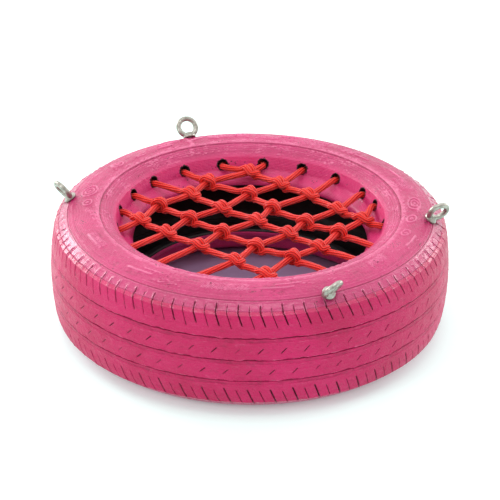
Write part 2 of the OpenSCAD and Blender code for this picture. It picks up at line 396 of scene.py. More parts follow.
def knurl_patch(theta, s, angle, span, r_in, r_out):
    """Fine crossed ridges in one arc of the sidewall."""
    a = turn_from(theta, math.radians(angle)) * 250
    rows = (s - s_at_r(r_out)) / 3.6
    cols = a / 4.2
    field = np.abs(np.sin(math.pi * (cols + rows))) * np.abs(np.sin(math.pi * (cols - rows)))
    inside = ramp(-np.abs(a), -span / 2, -span / 2 + 5) * window(s, s_at_r(r_out), s_at_r(r_in), 2.5)
    return field * inside


# generic raised pattern, by angle: patches (span, inner and outer radius), bars (radius, length,
# width, slant), ovals (radius, half sizes, rings) and rows of ticks (half span)
KNURLS = ((99, 66, 243, 264), (84, 44, 236, 250), (66, 50, 232, 256), (52, 40, 240, 258),
          (262, 74, 238, 256), (318, 40, 236, 252), (206, 54, 238, 256), (20, 48, 236, 256))
BARS = ((119.5, 262, 36, 3.2, 0.05), (121, 253, 44, 2.8, 0.02), (123, 244, 32, 3.4, -0.04),
        (110, 249, 26, 5.0, 0.3), (104, 246, 18, 6.0, -0.4), (76, 252, 30, 4.0, 0.2),
        (232, 252, 46, 3.6, 0.05), (236, 243, 34, 2.8, 0.0), (337, 254, 40, 3.2, -0.05),
        (28, 250, 36, 3.2, 0.03), (45, 243, 30, 2.8, 0.0), (205, 251, 38, 3.0, 0.04),
        (279, 249, 52, 3.0, 0.0), (283, 241, 40, 2.6, 0.0))
OVALS = ((169, 246, 22, 14, 3), (178, 243, 14, 10, 2), (4, 245, 24, 13, 3), (352, 240, 18, 11, 2),
         (341, 240, 14, 9, 2), (146, 247, 16, 10, 2))
TICKS = ((93, 13), (72, 9), (300, 11), (218, 10))
TICKS_ROUND = 480
STRIP_ANGLE = 113.3


def side_relief(theta, s, detailed):
    """Height and bareness of a sidewall: ring lines, fine ridges, generic raised pattern, paint."""
    a = np.abs(s)
    height = sum(tall * bump_at(a, at, half) for at, half, tall in RINGS)
    height += 0.9 * (1 - ramp(a, LINE_S - 0.8, LINE_S)) * ramp(a, LINE_S - 12, LINE_S - 0.8)
    faint = wave_noise(20, theta, a, 60, 18)
    wrinkle = wave_noise(21, theta, a, 9, 4.2)
    crumple = np.clip(faint - 0.2, 0, 1.2)
    band = window(a, RING_S + 6, RIDGE_S, 6)
    height += band * (0.14 * faint + 0.26 * wrinkle * (0.4 + crumple))
    bare = 0 * height
    if detailed:
        height += 1.6 * sum(knurl_patch(theta, a, *patch) for patch in KNURLS)
        height += 1.7 * sum(arc_bar(theta, a, *bar) for bar in BARS)
        height += 1.6 * sum(ellipse_rings(theta, a, *oval) for oval in OVALS)
        strip = bump_at(turn_from(theta, math.radians(STRIP_ANGLE)) * 255, 0, 4.4)
        height += 0.6 * np.clip(2.2 * strip, 0, 1) * window(a, SEAM_S, s_at_r(226), 3)
        ticks = np.clip(np.cos(theta * TICKS_ROUND) - 0.1, 0, 1) * bump_at(a, s_at_r(229), 1.5)
        for at, half in TICKS:
            inside = np.abs(turn_from(theta, math.radians(at))) < math.radians(half)
            height += 0.8 * ticks * inside
        nick = wave_noise(22, theta, a, 7, 3.2) * wave_noise(23, theta, a, 70, 30)
        bare += 0.8 * step_up(nick, 3.4, 4.2)
    height += 0.07 * wave_noise(24, theta, a, 5, 5)
    return height, np.clip(bare, 0, 1)


def hole_distance(theta, s):
    """Distance in mm, along the bead wall, from the nearest lacing hole's middle."""
    gap = np.full(np.broadcast(theta, s).shape, 1e3)
    for at in HOLES:
        a = turn_from(theta, at) * HOLE_R
        gap = np.minimum(gap, np.hypot(a, s - HOLE_S))
    return gap


def skin_point(theta, s, height):
    """A point in metres at a height in mm over the plain section."""
    r, z, nr, nz = section_at(s)
    r = r + height * nr
    return np.stack([r * np.cos(theta), r * np.sin(theta), HALF_W + z + height * nz], -1) * MM


def tyre_surface(theta, u, s, drilled):
    """Height of the outer face in mm, and how bare of paint, or painted dark as shade, it is."""
    on_tread = np.abs(s) <= CUT_TOP_S + 4
    height, bare = tread_relief(theta, u, s)
    side_height, side_bare = side_relief(theta, s, drilled)
    on_side = ramp(np.abs(s), SEAM_S + 1, SEAM_S + 4)
    height = np.where(on_tread, height, 0) + side_height * on_side
    bare = np.maximum(np.where(on_tread, bare, 0), side_bare * on_side)
    if drilled:
        gap = hole_distance(theta, s) - HOLE_D / 2
        ragged = wave_noise(30, theta, s, 6, 5)
        bare = np.maximum(bare, 1 - ramp(gap, 0.7 + 0.5 * ragged, 1.7 + 0.6 * ragged))
        height = height + 0.45 * (1 - ramp(gap, 0.4, 2.4)) * (1 + 0.7 * ragged)
    return height, bare


# ---- mesh helpers
def place(name, data):
    """A new object in the scene."""
    made = bpy.data.objects.new(name, data)
    bpy.context.scene.collection.objects.link(made)
    return made


def make_object(name, xyz, faces, attributes=(), smooth=True):
    """A mesh object from points and faces; unused points are dropped."""
    used = np.unique(np.concatenate([np.asarray(f).ravel() for f in faces]))
    remap = np.full(len(xyz), -1)
    remap[used] = np.arange(len(used))
    mesh = bpy.data.meshes.new(name)
    rows = [remap[np.asarray(f)].tolist() for f in faces]
    mesh.from_pydata(xyz[used].tolist(), [], [face for block in rows for face in block])
    mesh.update()
    for label, values in attributes:
        layer = mesh.attributes.new(label, "FLOAT", "POINT")
        layer.data.foreach_set("value", np.asarray(values)[used].astype(np.float32))
    mesh.polygons.foreach_set("use_smooth", [smooth] * len(mesh.polygons))
    return place(name, mesh)


def finish_piece(piece, body, nodes, material):
    if nodes:
        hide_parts(*nodes)
    piece.data.materials.clear()
    piece.data.materials.append(material)
    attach(piece, body)
    return piece


def consistent_normals(piece, weld=0.0):
    """Turn every face outward; points nearer than weld, in metres, are joined first."""
    work = bmesh.new()
    work.from_mesh(piece.data)
    if weld:
        bmesh.ops.remove_doubles(work, verts=work.verts, dist=weld)
    bmesh.ops.recalc_face_normals(work, faces=work.faces)
    work.to_mesh(piece.data)
    work.free()


def strip(a, b):
    """Quads between two closed loops of point numbers."""
    return np.stack([a, np.roll(a, -1, -1), np.roll(b, -1, -1), b], -1)


def grid_faces(index, keep=None):
    """Quads of a grid of point numbers whose rows are closed loops."""
    quads = strip(index[:-1], index[1:])
    if keep is not None:
        quads = quads[keep]
    return quads.reshape(-1, 4)


def tube_faces(index, first_cap):
    """Faces of a tube and of a fan over each end, round the two points that follow first_cap."""
    sides = index.shape[1]
    after = np.roll(np.arange(sides), -1)
    return [grid_faces(index),
            np.stack([index[0][after], index[0], np.full(sides, first_cap)], -1),
            np.stack([index[-1], index[-1][after], np.full(sides, first_cap + 1)], -1)]


def tread_columns():
    """Places of the grid's columns in one pitch, as shares of it, with both edges of each cut."""
    near_thick = [THICK_AT + x for x in (-2.6, -THICK_EDGE, -THICK_FLOOR, 0, THICK_FLOOR, THICK_EDGE, 2.6)]
    near_thin = [THIN_AT + x for x in (-1.9, -THIN_EDGE, -THIN_FLOOR, THIN_FLOOR, THIN_EDGE, 1.9)]
    between = np.linspace(near_thick[-1], near_thin[0], 7)[1:-1]
    after = np.linspace(near_thin[-1], near_thick[0] + PITCH, 7)[1:-1]
    return np.sort(np.mod(np.concatenate([near_thick, near_thin, between, after]), PITCH)) / PITCH


COLUMN_U = np.tile(tread_columns(), PITCHES)
COLUMN_PITCH = np.repeat(np.arange(PITCHES), len(tread_columns()))
COLUMNS = len(COLUMN_U)


class TyreShell:
    """A closed skin of the tyre between two places across it, with round holes through it."""

    def __init__(self, outer_rows, inner_rows, sink, drilled):
        self.drilled = drilled
        self.sink = sink
        self.points, self.bare, self.worn, self.across, self.faces = [], [], [], [], []
        self.count = 0
        self.outer = self.add_grid(outer_rows, False)
        self.inner = self.add_grid(inner_rows, True)

    def store(self, xyz, bare, worn, across):
        """Keep new points with their paint values and return their numbers."""
        self.points.append(xyz)
        self.bare.append(np.asarray(bare).ravel())
        self.worn.append(np.asarray(worn).ravel())
        self.across.append(across.ravel())
        first = self.count
        self.count += len(xyz)
        return np.arange(first, self.count)

    def add_points(self, theta, u, s, inner, at=None):
        if inner:
            height = -np.interp(np.abs(s), self.sink[0], self.sink[1])
            bare = np.ones(theta.shape)
            worn = 0 * theta
        else:
            height, bare = tyre_surface(theta, u, s, self.drilled)
            worn = height
        xyz = skin_point(theta, s if at is None else at, height).reshape(-1, 3)
        return self.store(xyz, bare, worn, s + 0 * theta).reshape(theta.shape)

    def add_grid(self, rows, inner):
        s = np.array(rows)[:, None] + 0 * COLUMN_U[None]
        u = COLUMN_U[None] + 0 * s
        theta = TAU * (COLUMN_PITCH[None] + u) / PITCHES + shear(s) / CROWN_R
        near_groove = sum(bump_at(s, g + side * GROOVE_HALF, 2.6) for g in GROOVES for side in (-1, 1))
        wavy = s + 0.45 * near_groove * wave_noise(40, theta, s, 22, 16)
        index = self.add_points(theta, u, s, inner, s if inner else wavy)
        return {"rows": np.array(rows), "theta": theta, "index": index, "inner": inner,
                "keep": np.ones((len(rows) - 1, COLUMNS), bool)}

    def drill(self, theta_c, s_c, radius, margin, rings, depth_step, rough):
        """A round hole at one place: a patch of rings in both faces and a tube between them."""
        loops = []
        r_c = float(section_at(np.array(s_c))[0])
        for grid in (self.outer, self.inner):
            arc = turn_from(grid["theta"], theta_c) * r_c
            cols = np.where(np.abs(arc[0]) < radius + margin)[0]
            first = cols[np.argmin(arc[0][cols])]
            n_cols = len(cols)
            rows = np.where(np.abs(grid["rows"] - s_c) < radius + margin)[0]
            col_ids = (first + np.arange(n_cols)) % COLUMNS
            grid["keep"][np.ix_(rows[:-1], col_ids[:-1])] = False
            index = grid["index"][np.ix_(rows, col_ids)]
            arcs = arc[np.ix_(rows, col_ids)]
            ss = grid["rows"][rows][:, None] + 0 * arcs
            edge = [(0, j) for j in range(n_cols)] + [(i, n_cols - 1) for i in range(1, len(rows))]
            edge += [(len(rows) - 1, j) for j in range(n_cols - 2, -1, -1)]
            edge += [(i, 0) for i in range(len(rows) - 2, 0, -1)]
            ei, ej = np.array(edge).T
            around, across = arcs[ei, ej], ss[ei, ej] - s_c
            turn = np.arctan2(across, around)
            wobble = rough * (np.sin(7 * turn + 9 * theta_c) + np.sin(11 * turn + 5 * theta_c)) / 2
            if grid["inner"]:
                wobble = 0 * wobble
            rim_a = (radius + wobble) * np.cos(turn)
            rim_s = (radius + wobble) * np.sin(turn)
            last = index[ei, ej]
            for k in range(1, rings + 1):
                f = 1 - (1 - k / rings) ** 1.5
                theta = theta_c + (around + (rim_a - around) * f) / r_c
                s = s_c + across + (rim_s - across) * f
                ring = self.add_points(theta, np.mod(theta / TAU * PITCHES, 1), s, grid["inner"])
                self.faces.append(strip(last, ring))
                last = ring
            loops.append(last)
        self.join_loops(loops[0], loops[1], depth_step, rough)

    def join_loops(self, a, b, steps, rough):
        """A tube between two loops with the same number of points."""
        points = np.vstack(self.points)
        last = a
        rng = np.random.default_rng(int(a[0]))
        for k in range(1, steps):
            f = k / steps
            ring = points[a] * (1 - f) + points[b] * f + rng.normal(0, 0.18 * rough * MM, (len(a), 3))
            ids = self.store(ring, np.ones(len(a)), np.zeros(len(a)), np.full(len(a), HOLE_S))
            self.faces.append(strip(last, ids))
            last = ids
        self.faces.append(strip(last, b))

    def build(self, name):
        for grid in (self.outer, self.inner):
            self.faces.append(grid_faces(grid["index"], grid["keep"]))
        for end in (0, -1):
            self.faces.append(strip(self.outer["index"][end], self.inner["index"][end]))
        xyz = press_under_collars(np.vstack(self.points))
        # the rubber that the tyre rests on lies flat on the ground
        xyz[:, 2] = np.maximum(xyz[:, 2], 0)
        layers = [("bare", np.concatenate(self.bare)), ("worn", np.concatenate(self.worn)),
                  ("across", np.concatenate(self.across))]
        piece = make_object(name, xyz, self.faces, layers)
        consistent_normals(piece)
        return piece


def spread(*stops):
    """Rows from place to place: each stop is (place, step to the next)."""
    rows = []
    for (a, step), (b, _) in zip(stops, stops[1:]):
        n = max(1, int(round(abs(b - a) / step)))
        rows += list(np.linspace(a, b, n, endpoint=False))
    return rows + [stops[-1][0]]


def tread_rows():
    """Rows across the tread, closest together at its edges, grooves and notches."""
    edge = EDGE_S
    rows = spread((SEAM_S, 1.3), (edge + 0.7, 0.7), (edge - 0.7, 1.6), (66, 2.4), (57, 1.5), (47, 3),
                  (38.8, 0.8))
    for g in GROOVES:
        top, low = g + GROOVE_HALF, g - GROOVE_HALF
        rows += [top + 1.6, top + 0.7, top, top - GROOVE_WALL, top - 0.9, top - 1.4, top - 1.9, top - 2.9]
        rows += [g, low + 2.2, low + 0.7, low, low - 0.5, low - 1.4]
    rows += spread((27.5, 2.7), (22, 1.2), (19.6, 2.2), (13, 1.2), (11.8, 3), (6, 1))
    rows += spread((-7, 2.5), (-12, 1.2), (-14.4, 1.9), (-20.6, 1.2), (-22, 2.6), (-27.5, 1))
    rows += spread((-41, 2.5), (-46, 1.4), (-49, 3), (-66, 1.6), (-edge + 0.7, 0.7), (-edge - 0.7, 1.3),
                   (-SEAM_S, 1))
    return sorted(set(np.round(rows, 3)), reverse=True)


def side_rows(coarse):
    """Rows across a sidewall, with steps coarse times as wide in its plain stretches."""
    return spread((SEAM_S, 1.7), (RING_S - 1.6, 0.8), (RING_S + 2.9, 1.5), (RING_S + 6, 1.5 * coarse),
                  (s_at_r(231), 1.5 * coarse), (LINE_S - 0.8, 0.8), (LINE_S + 1.2, 1.1 * coarse),
                  (s_at_r(207), 1.3 * coarse), (RIDGE_S - 2.2, 0.8), (RIDGE_S + 2, 1.7), (FOOT_S + 1, 2.0),
                  (FOOT_S + 12, 2.5), (TOE_S - 6, 2.0), (TOE_S, 1))


def make_tyre_rubber(tread_paint, side_paint):
    sink = ((0, EDGE_S, RING_S, RIDGE_S, FOOT_S, TOE_S), (7.5, 6.0, 4.4, 3.0, 3.0, 0.8))
    tread = TyreShell(tread_rows(), spread((SEAM_S, 12), (-SEAM_S, 1)), sink, False).build("tread_rubber")
    finish_piece(tread, "tyre", ["tread"], tread_paint)

    rows = side_rows(1.0)
    margin = 2.0
    bolt_margin = 2.2
    bolt_hole = SHANK_D / 2 + 0.3
    bolt_s = [s_at_r(shoulder_point(share)[0]) for share in EYE_SHARE]
    near_hole = [s for s in rows if abs(s - HOLE_S) < HOLE_D / 2 + margin
                 or min(abs(s - b) for b in bolt_s) < bolt_hole + bolt_margin]
    coarse = [s for s in spread((SEAM_S, 9), (TOE_S, 1)) if min(abs(s - n) for n in near_hole) > 2]
    upper = TyreShell(rows, sorted(near_hole + coarse), sink, True)
    for at in HOLES:
        upper.drill(at, HOLE_S, HOLE_D / 2, margin, 3, 3, 0.45)
    for angle, s_c in zip(EYE_ANGLE, bolt_s):
        upper.drill(math.radians(angle), s_c, bolt_hole, bolt_margin, 2, 2, 0.0)
    finish_piece(upper.build("upper_side_rubber"), "tyre", ["upper_sidewall"], side_paint)

    low_rows = [-s for s in side_rows(1.5)]
    low_inner = [-s for s in spread((SEAM_S, 10), (TOE_S, 1))]
    lower = TyreShell(low_rows, low_inner, sink, False)
    finish_piece(lower.build("lower_side_rubber"), "tyre", ["lower_sidewall"], side_paint)


# ---- the laced cord
def wall_place(degrees, along, down):
    """A place by the bead wall: along a hole's axis from the wall's face, and down the face."""
    r = HOLE_R + along * math.cos(WALL_TILT) - down * math.sin(WALL_TILT)
    a = math.radians(degrees)
    z = HALF_W + HOLE_Z - along * math.sin(WALL_TILT) - down * math.cos(WALL_TILT)
    return np.array([r * math.cos(a), r * math.sin(a), z])


def wall_point(i, along, down):
    return wall_place(HOLE_ANGLES[i], along, down)


CORD_DROP = HOLE_D / 2 - CORD_D / 2 - 0.1
LOOP_OUT = WALL_T + CORD_D / 2 + 0.1


def mouth(i):
    return wall_point(i % len(HOLE_ANGLES), -MOUTH, CORD_DROP)


def crossing(a, b, c, d):
    u, v, w = b - a, d - c, c - a
    return a + u * (w[0] * v[1] - w[1] * v[0]) / (u[0] * v[1] - u[1] * v[0])


STRAIGHT = [(mouth(6 + i), mouth(20 - i)) for i in range(LINES)]
KNOTTED = [(mouth(1 + i), mouth(15 - i)) for i in range(LINES)]

# one knot round a straight cord, in cord radii: along that cord, across it, and up
TWIN_KNOT = ((-0.9, 2.3, 0.7), (-1.1, 0.9, 1.6), (-1.3, -0.7, 1.4), (-1.2, -1.9, 0.6),
             (0.0, -2.4, 0.5), (1.2, -2.2, 0.2), (1.9, -1.2, -0.9), (1.6, 0.4, -1.5), (1.0, 1.7, -0.7),
             (0.7, 1.7, 0.8), (0.5, 0.3, 1.75), (0.4, -1.0, 1.2), (0.3, -1.3, -0.5), (0.4, -2.4, -1.2))
BALL_KNOT = ((1.0, 2.1, 0.5), (1.1, 0.8, 1.6), (1.0, -0.8, 1.5), (0.9, -1.6, 0.3),
             (0.7, -1.3, -1.1), (-0.1, 0.2, -1.6), (-0.8, 1.4, -0.8), (-1.1, 1.6, 0.7), (-0.9, 0.5, 1.75),
             (-0.3, -0.9, 1.8), (0.1, -1.8, 1.0), (0.3, -2.0, -0.2), (0.2, -1.6, -1.3), (0.1, -2.5, -1.2))
# how far from its middle a line turns into its knot, in mm
KNOT_REACH = 18.5


def knot_centre(i, j):
    a, b = KNOTTED[i]
    c, d = STRAIGHT[j]
    return crossing(a, b, c, d) + np.array(KNOT_SLIP[i][j] + (0.0,))


def straight_route(j):
    """Line j between its own two holes, bent a little at each knot."""
    return [STRAIGHT[j][0]] + [knot_centre(i, j) for i in reversed(range(LINES))] + [STRAIGHT[j][1]]


def knotted_route(i):
    return [KNOTTED[i][0]] + [knot_centre(i, j) for j in range(LINES)] + [KNOTTED[i][1]]


def knot_points(i, j, rng):
    """Line i's knot round line j, entered and left along the line's own way."""
    style = TWIN_KNOT if i % 2 == 0 else BALL_KNOT
    route = straight_route(j)
    k = LINES - i
    along = unit(unit(route[k + 1] - route[k]) + unit(route[k] - route[k - 1]))
    run = unit(KNOTTED[i][1] - KNOTTED[i][0])
    back = unit(-run + along * np.dot(run, along))
    shape = np.array(style) * rng.uniform(0.95, 1.06, 3) + rng.normal(0, 0.09, (len(style), 3))
    centre = knot_centre(i, j)
    before, _, after = knotted_route(i)[j:j + 3]
    turns = list(centre + CORD_D / 2 * shape @ np.stack([along, back, (0, 0, 1)]))
    entry = centre + KNOT_REACH * unit(before - centre) + (0, 0, 0.5)
    leave = centre + KNOT_REACH * unit(after - centre) - (0, 0, 2.0)
    return [entry] + turns + [leave]


def line_points(i, forward):
    """One knotted line, with a knot round each straight line that it crosses."""
    rng = np.random.default_rng(100 + i)
    out = [KNOTTED[i][0]]
    for j in range(LINES):
        out += knot_points(i, j, rng)
    out.append(KNOTTED[i][1])
    return out if forward else out[::-1]


def through_wall(i):
    return [wall_point(i, along, CORD_DROP) for along in (3.0, WALL_T, LOOP_OUT - 0.8)]


def under_loop(i, j):
    """In by hole i, inside the cavity against the wall, and out by hole j."""
    a, b = HOLE_ANGLES[i], HOLE_ANGLES[j]
    turn = (b - a + 180) % 360 - 180
    inside = [wall_place(a + turn * f, LOOP_OUT, CORD_DROP) for f in (0.25, 0.5, 0.75)]
    return through_wall(i) + inside + through_wall(j)[::-1]


def stopper_points():
    """A stopper knot inside the cavity behind its hole, and its short tail."""
    out_dir = wall_point(KNOT_HOLE, 1, 0) - wall_point(KNOT_HOLE, 0, 0)
    a = math.radians(HOLE_ANGLES[KNOT_HOLE])
    side = np.array([-math.sin(a), math.cos(a), 0])
    up = np.cross(side, out_dir)
    base = wall_point(KNOT_HOLE, WALL_T + 2, CORD_DROP)
    shape = ((0, 0, 0), (4, 4, 3), (9, 7, -2), (13, 0, -6), (10, -6, -1), (5, -6, 5), (3, 1, 7),
             (8, 6, 5), (13, 5, -1), (16, -2, 0), (21, -3, 0), (27, -2, 0))
    return [base + x * out_dir + y * side + z * up for x, y, z in shape]


def cord_route():
    """The whole cord from its cut tail to its stopper knot, hole by hole."""
    tail_line = straight_route(TAIL_HOLE - 6)
    run = unit(tail_line[1] - tail_line[0])
    points = [tail_line[0] + 8 * run, tail_line[0] + 20 * run] + tail_line[1:]
    for j, (start, end) in ((3, (16, 17)), (2, (9, 8)), (1, (18, 19)), (0, (7, 6))):
        points += under_loop(start, end)
        points += straight_route(j)[::-1] if end > TAIL_HOLE else straight_route(j)
    points += under_loop(0, 1)
    ends = [(1, 15), (14, 2), (3, 13), (12, 4), (5, 11)]
    for i, (_, end) in enumerate(ends):
        points += line_points(i, i % 2 == 0)
        if i < LINES - 1:
            points += under_loop(end, ends[i + 1][0])
    points += [wall_point(KNOT_HOLE, 3, CORD_DROP)] + stopper_points()
    return np.array(points)


def centripetal(points):
    """A curve through the points that doesn't overshoot where their spacing changes."""
    def piece(a, b, c, d, f):
        roots = [max(np.linalg.norm(v), 1e-3) ** 0.5 for v in (b - a, c - b, d - c)]
        t0, t1, t2, t3 = np.cumsum([0.0] + roots)
        t = t1 + (t2 - t1) * f

        def blend(low, high, p, q):
            return (high - t) / (high - low) * p + (t - low) / (high - low) * q

        bc = blend(t1, t2, b, c)
        return blend(t1, t2, blend(t0, t2, blend(t0, t1, a, b), bc),
                     blend(t1, t3, bc, blend(t2, t3, c, d)))

    return curve_through(points, 1.0, piece)


def frames_along(path):
    """Two directions across the path at each point, turning as little as they can."""
    tangent = tangents(path)
    across = np.zeros_like(path)
    across[0] = unit(np.cross(tangent[0], [0, 0, 1.0]))
    for i in range(1, len(path)):
        across[i] = unit(across[i - 1] - tangent[i] * np.dot(across[i - 1], tangent[i]))
    return across, np.cross(tangent, across)


BRAID_RIDGES = 6
BRAID_SIDES = 24
BRAID_STEP = 1.8
BRAID_LAY = 26.0


def make_cord(material):
    route = centripetal(cord_route())
    length = lengths_to(route)[-1]
    at = np.linspace(0, length, int(length / BRAID_STEP) + 1)
    path = points_at(at, route)
    across, up = frames_along(path)
    turn = angles_round(BRAID_SIDES)
    n = len(path)
    lay = TAU * at[:, None] / BRAID_LAY
    ridges = BRAID_RIDGES * turn[None]
    relief = np.maximum(np.cos(ridges + lay), 0.75 * np.cos(ridges - lay))
    from_tail = at[:, None]
    radius = CORD_D / 2 - 0.15 + 0.3 * relief
    seal = 1 - ramp(from_tail, 4.5, 7.0)
    radius = radius * (1 - 0.22 * seal) * np.sqrt(ramp(from_tail, -0.6, 2.4))
    radius = radius * np.sqrt(ramp(length - from_tail, -0.6, 2.4))
    ring = across[:, None] * np.cos(turn)[None, :, None] + up[:, None] * np.sin(turn)[None, :, None]
    xyz = (path[:, None] + ring * radius[..., None]) * MM
    index = np.arange(n * BRAID_SIDES).reshape(n, BRAID_SIDES)
    run = np.concatenate([np.repeat(at, BRAID_SIDES), [0, length]])
    round_at = np.concatenate([np.tile(turn, n), [0, 0]])
    sealed = np.concatenate([np.repeat(seal[:, 0], BRAID_SIDES), [1, 0]])
    cord = make_object("net_lacing", np.vstack([xyz.reshape(-1, 3), path[[0, -1]] * MM]),
                       tube_faces(index, index.size),
                       [("run", run), ("turn_sin", np.sin(round_at)), ("turn_cos", np.cos(round_at)),
                        ("sealed", sealed)])
    consistent_normals(cord)
    print("cord length", round(float(length), 1), "mm")
    return finish_piece(cord, "tyre", ["net_cord"], material)


# ---- eyebolts
def revolve(r, z, turn):
    """Rings of points about Z, with radii r, at each height z; and a grid of their numbers."""
    xyz = np.stack(np.broadcast_arrays(r * np.cos(turn), r * np.sin(turn), z[:, None]), -1)
    return xyz.reshape(-1, 3), np.arange(xyz.size // 3).reshape(xyz.shape[:2])


def eye_ring():
    """The forged ring, standing on its rim, with a flattened bore."""
    wire = (EYE_OD - EYE_BORE_D) / 4 + 0.15
    mid = EYE_OD / 2 - wire
    steps, sides = 96, 40
    turn = angles_round(steps)
    around = angles_round(sides)
    r = mid + wire * np.cos(around)
    r = np.maximum(r, EYE_BORE_D / 2 + 0.25 * np.sin(around) ** 2)
    y = wire * np.sin(around)
    xyz = np.stack([r[None] * np.cos(turn)[:, None], y[None] + 0 * turn[:, None],
                    EYE_OD / 2 + r[None] * np.sin(turn)[:, None]], -1)
    index = np.arange(steps * sides).reshape(steps, sides)
    return xyz.reshape(-1, 3), grid_faces(np.vstack([index, index[:1]]))


def eye_body():
    """Collar and neck below the ring."""
    rim = COLLAR_D / 2
    profile = np.array([(0, 0), (rim - 1.0, 0), (rim - 0.3, 0.3), (rim, 1.0), (rim, 3.0), (rim - 0.5, 4.0),
                        (rim - 1.8, 4.9), (6.6, 6.2), (5.4, 8.0), (4.4, 9.0), (0, 9.2)])
    xyz, index = revolve(profile[:, :1], profile[:, 1], angles_round(64))
    return xyz, grid_faces(index)


def forged_eye():
    """Ring, neck and collar grown together and softened, as a forging is."""
    parts = []
    for label, (xyz, faces) in (("ring", eye_ring()), ("body", eye_body())):
        part = make_object("eye_" + label, xyz * MM, [faces])
        consistent_normals(part, weld=1e-6)
        parts.append(part)
    ring, body = parts
    join = ring.modifiers.new("join", "BOOLEAN")
    join.operation = "UNION"
    join.solver = "EXACT"
    join.object = body
    remesh = ring.modifiers.new("remesh", "REMESH")
    remesh.mode = "VOXEL"
    remesh.voxel_size = 0.5 * MM
    soften = ring.modifiers.new("soften", "SMOOTH")
    soften.factor = 0.5
    soften.iterations = 5
    bpy.context.view_layer.update()
    graph = bpy.context.evaluated_depsgraph_get()
    mesh = bpy.data.meshes.new_from_object(ring.evaluated_get(graph))
    for part in parts:
        bpy.data.objects.remove(part)
    return mesh


def thread_points():
    """Shank with a rolled thread, as one closed skin below the collar."""
    sides, per_turn = 32, 8
    end = SHANK_LEN
    turn = angles_round(sides)
    z = -np.linspace(0.2, end, int(end / THREAD_PITCH * per_turn))
    phase = np.mod(z[:, None] / THREAD_PITCH - turn[None] / TAU, 1)
    crest = np.abs(phase - 0.5) * 2
    fade = ramp(-z, 3.0, 4.5)[:, None] * (1 - ramp(-z, end - 1.2, end))[:, None]
    r = SHANK_D / 2 - 0.05 - 0.72 * fade * np.clip(1.25 * crest - 0.12, 0, 1)
    r = r * (1 - 0.2 * ramp(-z, end - 1.2, end)[:, None])
    xyz, index = revolve(r, z, turn)
    return np.vstack([xyz, (0, 0, z[0]), (0, 0, z[-1])]), tube_faces(index, index.size)


def make_eyebolts(material):
    forged = forged_eye()
    xyz, faces = thread_points()
    shank = make_object("shank_work", xyz * MM, faces)
    consistent_normals(shank)
    for i, name in enumerate(EYES):
        work = bmesh.new()
        work.from_mesh(forged)
        work.from_mesh(shank.data)
        mesh = bpy.data.meshes.new("eye_bolt_" + name)
        bmesh.ops.transform(work, matrix=eye_matrix(i), verts=work.verts)
        work.to_mesh(mesh)
        work.free()
        mesh.polygons.foreach_set("use_smooth", [True] * len(mesh.polygons))
        bolt = place("eye_bolt_" + name, mesh)
        finish_piece(bolt, "eye_" + name, ["eyebolt_" + name], material)
    bpy.data.objects.remove(shank)


# ---- materials
class Shader:
    """A short way to wire a Principled material."""

    def __init__(self, name):
        self.material = bpy.data.materials.new(name)
        self.material.use_nodes = True
        self.tree = self.material.node_tree
        self.surface = self.tree.nodes["Principled BSDF"]
        self.where = self.tree.nodes.new("ShaderNodeTexCoord").outputs["Object"]

    def feed(self, socket, value):
        """Link another node's output to a socket, or set the socket itself to a plain value."""
        if isinstance(value, bpy.types.NodeSocket):
            self.tree.links.new(value, socket)
        else:
            socket.default_value = value

    def node(self, kind, inputs=(), **settings):
        made = self.tree.nodes.new(kind)
        for key, value in settings.items():
            setattr(made, key, value)
        for key, value in inputs:
            self.feed(made.inputs[key], value)
        return made

    def set(self, **values):
        for key, value in values.items():
            self.feed(self.surface.inputs[key.replace("_", " ")], value)

    def noise(self, scale, detail=4.0, rough=0.6, stretch=None):
        where = self.where
        if stretch:
            where = self.node("ShaderNodeMapping", [("Vector", where), ("Scale", stretch)]).outputs[0]
        made = self.node("ShaderNodeTexNoise", [("Vector", where), ("Scale", scale), ("Detail", detail),
                                                ("Roughness", rough)])
        return made.outputs["Fac"]

    def attribute(self, name):
        return self.node("ShaderNodeAttribute", attribute_name=name).outputs["Fac"]

    def math(self, operation, a, b=0.0, clamp=False):
        return self.node("ShaderNodeMath", [(0, a), (1, b)], operation=operation, use_clamp=clamp).outputs[0]

    def band(self, value, low, high, to_low=0.0, to_high=1.0):
        made = self.node("ShaderNodeMapRange", [("Value", value), ("From Min", low), ("From Max", high),
                                                ("To Min", to_low), ("To Max", to_high)])
        return made.outputs["Result"]

    def mix(self, share, a, b):
        made = self.tree.nodes.new("ShaderNodeMix")
        made.data_type = "RGBA"
        for number, value in ((0, share), (6, a), (7, b)):
            self.feed(made.inputs[number], value)
        return made.outputs[2]

    def bump(self, height, distance, strength=1.0, after=None):
        inputs = [("Height", height), ("Distance", distance), ("Strength", strength)]
        if after is not None:
            inputs.append(("Normal", after))
        return self.node("ShaderNodeBump", inputs).outputs[0]


def rgb(r, g, b):
    """A colour given as 0-255 display values, as linear light."""
    linear = [((c / 255 + 0.055) / 1.055) ** 2.4 if c > 10 else c / 255 / 12.92 for c in (r, g, b)]
    return tuple(linear) + (1.0,)


